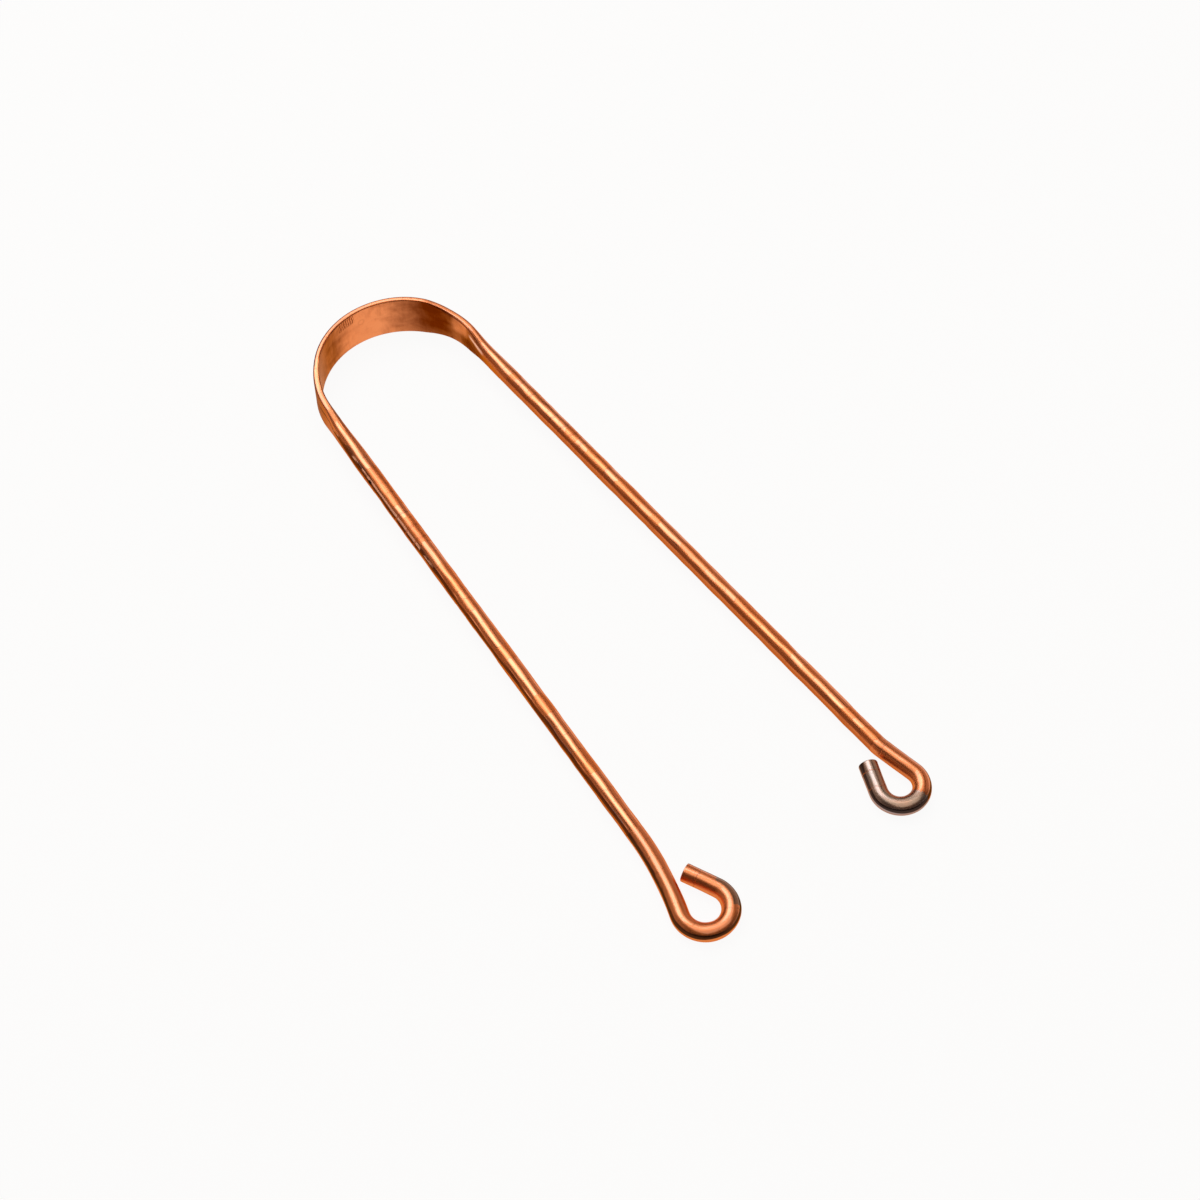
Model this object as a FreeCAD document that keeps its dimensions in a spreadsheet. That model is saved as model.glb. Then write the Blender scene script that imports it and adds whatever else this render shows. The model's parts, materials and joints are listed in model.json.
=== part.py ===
import FreeCAD, Part

import math
import os

import Sketcher

# Tongue scraper bent from one length of copper rod.
# The rod's middle is rolled into a flat band, stood on edge and bent into the bow that scrapes.
# Past the band the rod swells back to round at two shoulders, runs out as two arms that spread a
# little, and curls inward at each end into an eye.
# The bend is drawn flat on XY, with the bow's centre at the origin, the crown of the bow at +Y and
# the eyes at -Y. The whole is then laid down as it rests on a table: the band's lower edge and the
# underside of both eyes touch Z = 0, and the origin is below the middle of the part.

# Driving lengths, in millimetres
SIZES = {
    # the rod, and the band rolled from its middle
    "rod_diameter": 3.2,
    "band_width": 9.0,
    "band_thickness": 0.95,
    # the bow, along the middle of the band's thickness, and the free gap at its bending lines
    "bow_radius": 15.3,
    "flex_clearance": 0.08,
    # the shoulder's run along the arm past the bow, then the straight arm, which on the left is
    # shorter because its neck starts sooner
    "shoulder_run": 12.0,
    "arm_length": 97.2,
    "left_neck_lead": 9.9,
    # the left arm's end: the neck, and the eye with its cut tail
    "left_neck_radius": 60.0,
    "left_neck_run": 0.8,
    "left_eye_radius": 4.14,
    "left_tail_length": 5.7,
    # the same for the right arm's end, which a hand has bent a little differently
    "right_neck_radius": 5.0,
    "right_neck_run": 6.7,
    "right_eye_radius": 3.63,
    "right_tail_length": 5.2,
}

# Driving angles, in degrees
ANGLES = {
    # turns round the bow from the crown: to the bending lines, and to the band's ends
    "flex_turn": 40.0,
    "band_turn": 48.0,
    # each arm's lean out of parallel
    "arm_splay": 3.0,
    # how far each neck leans outward, and how far the eye then curls inward
    "left_neck_turn": 14.7,
    "left_eye_curl": 224.0,
    "right_neck_turn": 9.6,
    "right_eye_curl": 213.0,
}

# How far the section has gone from band to rod at each station of a shoulder
THICKNESS_SHARES = (0.0, 0.05, 0.15, 0.23, 0.62, 0.84)
WIDTH_SHARES = (0.0, 0.15, 0.38, 0.5, 0.85, 0.94)
# Where those stations stand: shares of the shoulder's turn, then of its run along the arm
TURN_SHARES = (0.0, 0.18, 0.56, 1.0, 1.0, 1.0)
RUN_SHARES = (0.0, 0.0, 0.0, 0.0, 0.33, 0.67)

SIDES = {"left": -1, "right": 1}

# The turn from the crown to where each arm leaves the bow as its tangent
BOW_TURN = "(90 - dims.arm_splay)"

# Each straight arm's length, from its shoulder to the start of its neck
ARM_LENGTHS = {"left": "(dims.arm_length - dims.left_neck_lead)", "right": "dims.arm_length"}

Vector = FreeCAD.Vector
UP = Vector(0, 0, 1)

doc = FreeCAD.newDocument("tongue_scraper")


def make_sheet():
    """Writes each driving length and angle into its own named cell."""
    sheet = doc.addObject("Spreadsheet::Sheet", "dims")
    for row, (name, size) in enumerate({**SIZES, **ANGLES}.items(), start=1):
        sheet.set(f"A{row}", name)
        sheet.set(f"B{row}", str(size))
        sheet.setAlias(f"B{row}", name)
    doc.recompute()
    return sheet


dims = make_sheet()


def value(expression):
    """The number that an expression of the sheet's cells comes to."""
    result = dims.evalExpression(expression)
    return float(getattr(result, "Value", result))


def new_body(name):
    body = doc.addObject("PartDesign::Body", name)
    body.Label = name
    return body


def datum(body, role):
    """One of the body's own origin planes or axes."""
    return next(item for item in body.Origin.OriginFeatures if item.Role == role)


def new_sketch(body, name, role):
    sketch = body.newObject("Sketcher::SketchObject", name)
    sketch.AttachmentSupport = (datum(body, role), [""])
    sketch.MapMode = "FlatFace"
    return sketch


def bind(sketch, name, constraint, expression):
    """Adds a named constraint whose size follows the sheet."""
    index = sketch.addConstraint(constraint)
    sketch.renameConstraint(index, name)
    sketch.setExpression(f"Constraints.{name}", expression)


# Places along the rod

def section_sketch(body, name, side, turn, run="0"):
    """A sketch square to the rod, centred on it: round the bow by a turn, then along the tangent.

    Its x axis points away from the bow's centre and its y axis up.
    """
    sketch = new_sketch(body, name, "YZ_Plane")
    # on this plane x is the part's Y, y is its Z and z is its X
    tilt = FreeCAD.Rotation(Vector(0, -side, 0), 1)
    sketch.AttachmentOffset = FreeCAD.Placement(Vector(), tilt)
    sketch.setExpression("AttachmentOffset.Rotation.Angle", turn)
    ahead = f"dims.bow_radius * cos({turn}) - ({run}) * sin({turn})"
    aside = f"dims.bow_radius * sin({turn}) + ({run}) * cos({turn})"
    sketch.setExpression("AttachmentOffset.Base.x", ahead)
    sketch.setExpression("AttachmentOffset.Base.z", f"{side} * ({aside})")
    return sketch


def path_sketch(body, name, side, run):
    """A sketch on the plane of the bend, with its x axis along the arm from the given run."""
    sketch = new_sketch(body, name, "XY_Plane")
    sketch.AttachmentOffset = FreeCAD.Placement(Vector(), FreeCAD.Rotation(-UP, 1))
    heading = BOW_TURN if side > 0 else f"180 - {BOW_TURN}"
    ahead = f"dims.bow_radius * cos({BOW_TURN}) - ({run}) * sin({BOW_TURN})"
    aside = f"dims.bow_radius * sin({BOW_TURN}) + ({run}) * cos({BOW_TURN})"
    sketch.setExpression("AttachmentOffset.Rotation.Angle", heading)
    sketch.setExpression("AttachmentOffset.Base.x", f"{side} * ({aside})")
    sketch.setExpression("AttachmentOffset.Base.y", ahead)
    return sketch


# Sections of the rod

def arc(centre, radius, start, end):
    """An arc between two directions from its centre, drawn anticlockwise."""
    circle = Part.Circle(centre, UP, radius)
    return Part.ArcOfCircle(circle, min(start, end), max(start, end))


def draw_band(sketch, width, thickness):
    """Two flats joined by half-round edges, about the sketch's origin."""
    half_flat = value(f"({width} - {thickness}) / 2")
    edge = value(f"({thickness}) / 2")
    top = sketch.addGeometry(arc(Vector(0, half_flat, 0), edge, 0, math.pi))
    inner = sketch.addGeometry(
        Part.LineSegment(Vector(-edge, half_flat, 0), Vector(-edge, -half_flat, 0)))
    bottom = sketch.addGeometry(arc(Vector(0, -half_flat, 0), edge, math.pi, math.tau))
    outer = sketch.addGeometry(
        Part.LineSegment(Vector(edge, -half_flat, 0), Vector(edge, half_flat, 0)))
    for one, other in ((top, inner), (inner, bottom), (bottom, outer), (outer, top)):
        sketch.addConstraint(Sketcher.Constraint("Tangent", one, 2, other, 1))
    sketch.addConstraint(Sketcher.Constraint("Equal", top, bottom))
    size_edges(sketch, top, bottom, width, thickness)


def draw_half_band(sketch, width, thickness):
    """The outer half of a band section, closed along the sketch's y axis."""
    half_flat = value(f"({width} - {thickness}) / 2")
    edge = value(f"({thickness}) / 2")
    quarter = math.pi / 2
    top = sketch.addGeometry(arc(Vector(0, half_flat, 0), edge, 0, quarter))
    middle = sketch.addGeometry(
        Part.LineSegment(Vector(0, half_flat + edge, 0), Vector(0, -half_flat - edge, 0)))
    bottom = sketch.addGeometry(arc(Vector(0, -half_flat, 0), edge, -quarter, 0))
    outer = sketch.addGeometry(
        Part.LineSegment(Vector(edge, -half_flat, 0), Vector(edge, half_flat, 0)))
    for one, other in ((top, middle), (middle, bottom)):
        sketch.addConstraint(Sketcher.Constraint("Coincident", one, 2, other, 1))
    for one, other in ((bottom, outer), (outer, top)):
        sketch.addConstraint(Sketcher.Constraint("Tangent", one, 2, other, 1))
    for end in (1, 2):
        sketch.addConstraint(Sketcher.Constraint("PointOnObject", middle, end, -2))
    sketch.addConstraint(Sketcher.Constraint("Equal", top, bottom))
    size_edges(sketch, top, bottom, width, thickness)


def size_edges(sketch, top, bottom, width, thickness):
    """Sets the half-round edges' radius and their distance apart across the origin."""
    sketch.addConstraint(Sketcher.Constraint("Symmetric", top, 3, bottom, 3, -1, 1))
    sketch.addConstraint(Sketcher.Constraint("PointOnObject", top, 3, -2))
    flat = f"{width} - ({thickness})"
    edge = f"({thickness}) / 2"
    apart = Sketcher.Constraint("DistanceY", bottom, 3, top, 3, value(flat))
    bind(sketch, "flat", apart, flat)
    bind(sketch, "edge", Sketcher.Constraint("Radius", top, value(edge)), edge)


def draw_rod(sketch):
    """The round rod's section, about the sketch's origin."""
    diameter = value("dims.rod_diameter")
    circle = sketch.addGeometry(Part.Circle(Vector(), UP, diameter / 2))
    sketch.addConstraint(Sketcher.Constraint("Coincident", circle, 3, -1, 1))
    across = Sketcher.Constraint("Diameter", circle, diameter)
    bind(sketch, "rod", across, "dims.rod_diameter")


# Features

def revolve(body, kind, name, sketch, axis, angle, both_ways=False):
    feature = body.newObject(kind, name)
    feature.Profile = sketch
    feature.ReferenceAxis = axis
    feature.Midplane = both_ways
    feature.setExpression("Angle", angle)
    return feature


def band_stretch(body, side, middle, angle):
    """A stretch of the flat band, bent round the bow's centre."""
    sketch = section_sketch(body, "band_section", side, middle)
    draw_band(sketch, "dims.band_width", "dims.band_thickness")
    axis = (datum(body, "Z_Axis"), [""])
    revolve(body, "PartDesign::Revolution", "band", sketch, axis, angle, both_ways=True)


def flex_round(body, kind, name, side, clearance):
    """A round-ended bar standing on a bending line, as wide as the band is thick."""
    sketch = section_sketch(body, f"{name}_section", side, "dims.flex_turn")
    grown = f"2 * ({clearance})"
    draw_half_band(sketch, f"dims.band_width + {grown}", f"dims.band_thickness + {grown}")
    revolve(body, kind, name, sketch, (sketch, ["V_Axis"]), "360")


def make_crown():
    """The middle of the bow, with a round nose at each bending line."""
    body = new_body("band_crown")
    band_stretch(body, 1, "0", "2 * dims.flex_turn")
    for name, side in SIDES.items():
        flex_round(body, "PartDesign::Revolution", f"{name}_nose", side, "0")
    return body


def make_band_side(name, side):
    """The rest of the band on one side, hollowed to turn on the crown's nose."""
    body = new_body(f"{name}_band_side")
    middle = "(dims.flex_turn + dims.band_turn) / 2"
    band_stretch(body, side, middle, "dims.band_turn - dims.flex_turn")
    flex_round(body, "PartDesign::Groove", "hollow", side, "dims.flex_clearance")
    return body


def make_shoulder(name, side):
    """The swelling from flat band to round rod, round the end of the bow and along the arm."""
    body = new_body(f"{name}_shoulder")
    sections = []
    stations = zip(TURN_SHARES, RUN_SHARES, WIDTH_SHARES, THICKNESS_SHARES)
    for index, (turn_share, run_share, width_share, thickness_share) in enumerate(stations):
        turn = between("dims.band_turn", BOW_TURN, turn_share)
        run = f"{run_share} * dims.shoulder_run"
        width = between("dims.band_width", "dims.rod_diameter", width_share)
        thickness = between("dims.band_thickness", "dims.rod_diameter", thickness_share)
        sketch = section_sketch(body, f"section_{index}", side, turn, run)
        draw_band(sketch, width, thickness)
        sections.append(sketch)
    last = section_sketch(body, "round_section", side, BOW_TURN, "dims.shoulder_run")
    draw_rod(last)
    sections.append(last)
    loft = body.newObject("PartDesign::AdditiveLoft", "swelling")
    loft.Profile = sections[0]
    loft.Sections = sections[1:]
    return body


def between(first, last, share):
    return f"({first} + {share} * ({last} - {first}))"


def make_arm(name, side):
    """The straight round arm."""
    body = new_body(f"{name}_arm")
    sketch = section_sketch(body, "rod_section", side, BOW_TURN, "dims.shoulder_run")
    draw_rod(sketch)
    pad = body.newObject("PartDesign::Pad", "rod")
    pad.Profile = sketch
    pad.Reversed = side < 0
    pad.setExpression("Length", ARM_LENGTHS[name])
    return body


def make_eye(name, side):
    """The arm's end: a neck that leans outward, the eye curled inward, and its straight tail."""
    body = new_body(f"{name}_eye")
    arm_end = f"dims.shoulder_run + {ARM_LENGTHS[name]}"
    path = path_sketch(body, "path", side, arm_end)
    draw_eye_path(path, name, side)
    profile = section_sketch(body, "rod_section", side, BOW_TURN, arm_end)
    draw_rod(profile)
    pipe = body.newObject("PartDesign::AdditivePipe", "bent_rod")
    pipe.Profile = profile
    pipe.Spine = (path, [f"Edge{index}" for index in range(1, path.GeometryCount + 1)])
    return body


def draw_eye_path(sketch, name, side):
    """Neck arc, straight run, eye arc and tail, each tangent to the one before.

    The arm comes in along +x and the outward side is +y on the right, -y on the left.
    """
    neck, lean = value(f"dims.{name}_neck_radius"), math.radians(value(f"dims.{name}_neck_turn"))
    eye, curl = value(f"dims.{name}_eye_radius"), math.radians(value(f"dims.{name}_eye_curl"))
    run, tail = value(f"dims.{name}_neck_run"), value(f"dims.{name}_tail_length")
    quarter = side * math.pi / 2
    heading = side * lean
    neck_end = neck * Vector(math.sin(lean), side * (1 - math.cos(lean)), 0)
    run_end = neck_end + run * direction(heading)
    eye_centre = run_end + eye * direction(heading - quarter)
    back = heading - side * curl
    eye_end = eye_centre + eye * direction(back + quarter)
    tail_end = eye_end + tail * direction(back)
    neck_arc = sketch.addGeometry(
        arc(Vector(0, side * neck, 0), neck, -quarter, heading - quarter))
    neck_run = sketch.addGeometry(Part.LineSegment(neck_end, run_end))
    eye_arc = sketch.addGeometry(arc(eye_centre, eye, heading + quarter, back + quarter))
    tail_run = sketch.addGeometry(Part.LineSegment(eye_end, tail_end))
    # an arc is stored anticlockwise, so the side decides which of its ends comes first
    neck_first, neck_last = (1, 2) if side > 0 else (2, 1)
    eye_first, eye_last = neck_last, neck_first
    sketch.addConstraint(Sketcher.Constraint("Coincident", neck_arc, neck_first, -1, 1))
    sketch.addConstraint(Sketcher.Constraint("PointOnObject", neck_arc, 3, -2))
    for join in ((neck_arc, neck_last, neck_run, 1),
                 (neck_run, 2, eye_arc, eye_first),
                 (eye_arc, eye_last, tail_run, 1)):
        sketch.addConstraint(Sketcher.Constraint("Tangent", *join))
    for piece, kind, geometry, size in (("neck_radius", "Radius", neck_arc, neck),
                                        ("neck_turn", "Angle", neck_arc, lean),
                                        ("neck_run", "Distance", neck_run, run),
                                        ("eye_radius", "Radius", eye_arc, eye),
                                        ("eye_curl", "Angle", eye_arc, curl),
                                        ("tail_length", "Distance", tail_run, tail)):
        constraint = Sketcher.Constraint(kind, geometry, size)
        bind(sketch, piece, constraint, f"dims.{name}_{piece}")


def direction(angle):
    return Vector(math.cos(angle), math.sin(angle), 0)


# The whole part

def make_parts():
    parts = [make_crown()]
    for name, side in SIDES.items():
        parts.append(make_band_side(name, side))
        parts.append(make_shoulder(name, side))
        parts.append(make_arm(name, side))
        parts.append(make_eye(name, side))
    doc.recompute()
    return parts


def check(parts):
    """Stops on any feature that failed and any sub-part without a sound solid."""
    for item in doc.Objects:
        if {"Invalid", "Error"} & set(item.State):
            raise RuntimeError(f"{item.Label} failed: {item.State}")
    for part in parts:
        shape = part.Shape
        if shape.isNull() or not shape.isValid() or len(shape.Solids) != 1:
            raise RuntimeError(f"{part.Label} is not one sound solid")
        print(f"{part.Label}: {shape.Volume:.3f} cubic mm")


def lay_down(parts):
    """Tips the part onto the band's lower edge and the eyes, over the middle of its footprint."""
    rod_radius = value("dims.rod_diameter") / 2
    drop = value("dims.band_width") / 2 - rod_radius
    band_end = value("dims.bow_radius * cos(dims.band_turn)")
    eye_ends = [bounds([part]).YMin + rod_radius for part in parts if part.Label.endswith("eye")]
    lean = math.degrees(math.asin(drop / (band_end - min(eye_ends))))
    rotation = FreeCAD.Rotation(Vector(1, 0, 0), lean)
    for part in parts:
        part.Placement = FreeCAD.Placement(Vector(), rotation)
    box = bounds(parts)
    shift = -Vector(box.Center.x, box.Center.y, box.ZMin)
    for part in parts:
        part.Placement = FreeCAD.Placement(shift, rotation)
    print(f"lean {lean:.4f} degrees, bow centre at {shift.x:.4f} {shift.y:.4f} {shift.z:.4f}")
    print(f"size {box.XLength:.3f} x {box.YLength:.3f} x {box.ZLength:.3f}")


def bounds(parts):
    box = FreeCAD.BoundBox()
    for part in parts:
        box.add(part.Shape.optimalBoundingBox(False))
    return box


def export(parts):
    os.makedirs("parts", exist_ok=True)
    for part in parts:
        part.Shape.exportStep(f"parts/{part.Label}.step")


scraper = make_parts()
check(scraper)
lay_down(scraper)
check(scraper)
export(scraper)
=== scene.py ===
import json
import math

import bpy
from mathutils import Matrix, Vector


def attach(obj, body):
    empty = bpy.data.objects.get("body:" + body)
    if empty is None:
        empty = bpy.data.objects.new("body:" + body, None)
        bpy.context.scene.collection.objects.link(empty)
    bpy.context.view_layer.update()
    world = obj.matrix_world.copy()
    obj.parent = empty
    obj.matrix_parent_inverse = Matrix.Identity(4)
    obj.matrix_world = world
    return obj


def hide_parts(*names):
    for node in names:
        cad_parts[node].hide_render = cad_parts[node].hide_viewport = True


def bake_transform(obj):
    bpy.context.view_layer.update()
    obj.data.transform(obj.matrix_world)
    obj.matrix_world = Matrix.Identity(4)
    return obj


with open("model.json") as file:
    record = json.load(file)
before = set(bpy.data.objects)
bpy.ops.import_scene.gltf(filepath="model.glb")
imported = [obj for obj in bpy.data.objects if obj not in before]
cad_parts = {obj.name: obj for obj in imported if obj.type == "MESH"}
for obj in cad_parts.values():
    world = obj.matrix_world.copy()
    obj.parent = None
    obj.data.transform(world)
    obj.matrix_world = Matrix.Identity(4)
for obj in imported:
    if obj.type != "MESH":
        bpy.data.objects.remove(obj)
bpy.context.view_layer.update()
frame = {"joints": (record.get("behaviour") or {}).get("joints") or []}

bl_info = {
    "name": "Tongue Scraper",
    "version": (1, 0, 0),
    "blender": (4, 5, 0),
    "location": "3D View > Sidebar > Scraper",
    "description": "A copper tongue scraper bent from one rod, with its finish and a plain studio",
    "category": "Object",
}

MM = 0.001

# The bend is drawn flat, with the bow's centre at the origin, the crown at +Y and the eyes at -Y.
# The hinge of the left arm tells how the solids were laid down from there.
HINGE = next(joint for joint in frame["joints"] if joint["name"] == "left_flex")
LEAN = math.atan2(-HINGE["axis"][1], HINGE["axis"][2])
# Turn from the crown to each hinge
HINGE_TURN = math.radians(40)

SIDES = {"left": -1, "right": 1}


def mm(*numbers):
    """Millimetres as metres."""
    return tuple(number * MM for number in numbers)


# Sizes and colours that a user would change


def length(name, description, default):
    return bpy.props.FloatProperty(
        name=name, description=description, default=default, min=0.0, precision=5,
        subtype="DISTANCE", unit="LENGTH")


def angle(name, description, default):
    return bpy.props.FloatProperty(
        name=name, description=description, default=math.radians(default), subtype="ANGLE", unit="ROTATION")


def colour(name, description, default):
    return bpy.props.FloatVectorProperty(
        name=name, description=description, default=default, size=3, min=0.0, max=1.0, subtype="COLOR")


def share(name, description, default):
    return bpy.props.FloatProperty(
        name=name, description=description, default=default, min=0.0, max=1.0, subtype="FACTOR")


class ScraperSizes(bpy.types.PropertyGroup):
    """Sizes of the rod and of its bends."""
    rod: length("Rod", "Diameter of the round rod", 3.2 * MM)
    band_width: length("Band Width", "Height of the flat band on its edge", 9.0 * MM)
    band_thickness: length("Band Thickness", "Thickness of the flat band", 0.95 * MM)
    bow: length("Bow Radius", "Radius of the bow, along the middle of the band", 15.3 * MM)
    band_turn: angle("Band Turn", "Turn from the crown to the end of the flat band", 48.0)
    splay: angle("Splay", "How far each arm leans out of parallel", 3.0)
    shoulder: length("Shoulder", "Run of the shoulder along the arm past the bow", 12.0 * MM)
    arm: length("Arm", "Straight arm from the shoulder to the right neck", 97.2 * MM)
    left_lead: length("Left Neck Lead", "How much sooner the left neck starts", 9.9 * MM)
    left_neck: length("Left Neck Radius", "Radius of the left neck", 60.0 * MM)
    left_neck_turn: angle("Left Neck Turn", "Turn of the left neck outward", 14.7)
    left_neck_run: length("Left Neck Run", "Straight run from the left neck to its eye", 0.8 * MM)
    left_eye: length("Left Eye Radius", "Radius of the left eye, along the rod's middle", 4.14 * MM)
    left_curl: angle("Left Curl", "How far the left eye curls inward", 224.0)
    left_tail: length("Left Tail", "Straight tail of the left eye", 5.7 * MM)
    right_neck: length("Right Neck Radius", "Radius of the right neck", 5.0 * MM)
    right_neck_turn: angle("Right Neck Turn", "Turn of the right neck outward", 9.6)
    right_neck_run: length("Right Neck Run", "Straight run from the right neck to its eye", 6.7 * MM)
    right_eye: length("Right Eye Radius", "Radius of the right eye, along the rod's middle", 3.63 * MM)
    right_curl: angle("Right Curl", "How far the right eye curls inward", 213.0)
    right_tail: length("Right Tail", "Straight tail of the right eye", 5.2 * MM)
    dent_depth: length("Dent Depth", "Depth of the small dents left by handling", 0.06 * MM)
    dent_size: length("Dent Size", "Breadth of the small dents", 2.0 * MM)
    facet_depth: length("Facet Depth", "Depth of the flat places along the arms", 0.05 * MM)
    facet_run: length("Facet Run", "Spacing of the flat places along the arms", 2.6 * MM)
    groove_depth: length("Groove Depth", "Depth of the broken groove along the left arm", 0.05 * MM)
    groove_turn: angle("Groove Turn", "Turn from the rod's outer side up to the groove", 42.0)
    chamfer: length("Chamfer", "Broken edge of the cut ends", 0.12 * MM)


class ScraperFinish(bpy.types.PropertyGroup):
    """Colours and wear of the metal."""
    copper: colour("Copper", "Polished copper of the rod", (0.86, 0.262, 0.085))
    face: colour("Inner Face", "Satin copper of the band's inner face", (0.92, 0.31, 0.118))
    edge: colour("Edge", "Copper seen at a grazing angle", (0.95, 0.55, 0.34))
    # Deep copper is also laid as painted shade on the rod's underside
    deep: colour("Deep Copper", "Copper in drawn lines and on the underside", (0.55, 0.13, 0.032))
    # A darker red-brown on the band's inner face, deepest on the right
    stain: colour("Red-Brown Tone", "Red-brown stain of the band's inner face", (0.16, 0.020, 0.0012))
    dull: colour("Dull Copper", "Greyish copper at the end of the inner face", (0.46, 0.22, 0.13))
    # Painted highlight: the bright reflection line on the arms and shoulder, and the bright facet's
    # reflection on the inner face
    facet: colour("Facet", "Rubbed bright copper", (1.0, 0.62, 0.45))
    film: colour("Tarnish", "Grey tarnish round the right eye", (0.35, 0.30, 0.295))
    patch: colour("Tarnish Patch", "Dark tarnish on the left eye", (0.17, 0.12, 0.095))
    # Painted dark reflection on the flanks, on the left shoulder's outer face and on the rim's outer corner
    dark_reflection: colour("Grime", "Dark brown on the flanks", (0.12, 0.025, 0.007))
    # Painted shade round the eyes, and the dark pit on the left arm
    near_black: colour("Near Black", "Near-black round the eyes and in deep pits", (0.018, 0.007, 0.004))
    roughness: share("Roughness", "Roughness of the polished rod", 0.28)
    satin: share("Satin", "Roughness of the band's inner face", 0.42)


class ScraperStage(bpy.types.PropertyGroup):
    """The plain studio."""
    floor: colour("Floor", "Colour of the floor", (0.93, 0.93, 0.93))
    surround: colour("Surround", "Colour of the studio round the floor", (0.07, 0.042, 0.028))
    key: colour("Key", "Colour of the top softbox", (0.88, 0.95, 1.0))
    fill: colour("Fill", "Colour of the wide and front softboxes", (1.0, 0.84, 0.62))
    card: colour("Cards", "Colour of the side cards", (1.0, 0.64, 0.4))


# Shape of the rod


def stretches(sizes, side):
    """Length and bend of each stretch from the crown to the cut end. A bend outward is positive."""
    def own(name):
        return getattr(sizes, f"{side}_{name}")

    bow_turn = math.pi / 2 - sizes.splay
    arm = sizes.arm - (sizes.left_lead if side == "left" else 0.0)
    return {
        "bow": (sizes.bow * bow_turn, -1 / sizes.bow),
        "shoulder": (sizes.shoulder, 0.0),
        "arm": (arm, 0.0),
        "neck": (own("neck") * own("neck_turn"), 1 / own("neck")),
        "neck_run": (own("neck_run"), 0.0),
        "eye": (own("eye") * own("curl"), -1 / own("eye")),
        "tail": (own("tail"), 0.0),
    }


def starts(sizes, side):
    """Distance from the crown to the start of each stretch, and to the cut end."""
    found, distance = {}, 0.0
    for name, (run, _) in stretches(sizes, side).items():
        found[name] = distance
        distance += run
    found["cut_end"] = distance
    return found


def place(sizes, side, distance):
    """Middle of the rod and its outward direction, at a distance from the crown along the rod."""
    middle = Vector((0.0, sizes.bow, 0.0))
    ahead = Vector((SIDES[side], 0.0, 0.0))
    outward = Vector((0.0, 1.0, 0.0))
    to_go = distance
    for run, bend in stretches(sizes, side).values():
        step = min(to_go, run)
        turn = bend * step
        if bend:
            middle = middle + ahead * (math.sin(turn) / bend) + outward * ((1 - math.cos(turn)) / bend)
        else:
            middle = middle + ahead * step
        ahead, outward = (ahead * math.cos(turn) + outward * math.sin(turn),
                          outward * math.cos(turn) - ahead * math.sin(turn))
        to_go -= step
        if to_go <= 0:
            break
    return middle, outward


# How far the section has gone from band to rod at each station of a shoulder, and where the
# stations stand as shares of the bow's last turn and of the shoulder's run
THICKNESS_SHARES = (0.0, 0.0, 0.05, 0.15, 0.23, 0.62, 0.84, 1.0)
WIDTH_SHARES = (0.0, 0.04, 0.15, 0.38, 0.5, 0.85, 0.94, 1.0)
TURN_SHARES = (-0.45, 0.0, 0.18, 0.56, 1.0, 1.0, 1.0, 1.0)
RUN_SHARES = (0.0, 0.0, 0.0, 0.0, 0.0, 0.33, 0.67, 1.0)
# Share of the chamfer at which the middle of a cut end's rounded edge stands
CHAMFER_SHARE = 0.3


def smooth_through(xs, ys, x):
    """A curve through the stations that never overshoots them."""
    if x <= xs[0]:
        return ys[0]
    if x >= xs[-1]:
        return ys[-1]
    steps = [(y1 - y0) / (x1 - x0) for x0, x1, y0, y1 in zip(xs, xs[1:], ys, ys[1:])]
    slopes = [0.0]
    for before, after in zip(steps, steps[1:]):
        slopes.append(2 * before * after / (before + after) if before * after > 0 else 0.0)
    slopes.append(0.0)
    index = max(i for i in range(len(xs) - 1) if x >= xs[i])
    span = xs[index + 1] - xs[index]
    t = (x - xs[index]) / span
    rise = ys[index + 1] - ys[index]
    bend = slopes[index] * span * t * (1 - t) ** 2 - slopes[index + 1] * span * t ** 2 * (1 - t)
    return ys[index] + rise * t * t * (3 - 2 * t) + bend


def section(sizes, side, distance):
    """Half of the section's flat, and the radius of its round edges, at a distance from the crown."""
    bow_length = stretches(sizes, side)["bow"][0]
    band_length = sizes.bow * sizes.band_turn
    stations = [band_length + turn * (bow_length - band_length) + run * sizes.shoulder
                for turn, run in zip(TURN_SHARES, RUN_SHARES)]

    def between(band_size, shares):
        return band_size + (sizes.rod - band_size) * smooth_through(stations, shares, distance)

    width = between(sizes.band_width, WIDTH_SHARES)
    thick = between(sizes.band_thickness, THICKNESS_SHARES)
    return max(0.0, (width - thick) / 2), thick / 2


def rings(sizes, first, last, spacing, cut=False):
    """Distances of the rings of one piece, and how far each is drawn in at a cut end."""
    count = max(2, round((last - first) / spacing))
    found = [(first + (last - first) * i / count, 0.0) for i in range(count + 1)]
    if cut:
        found.pop()
        turned = sizes.chamfer * CHAMFER_SHARE
        found += [(last - sizes.chamfer, 0.0), (last - turned, turned), (last, sizes.chamfer)]
    return found


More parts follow.
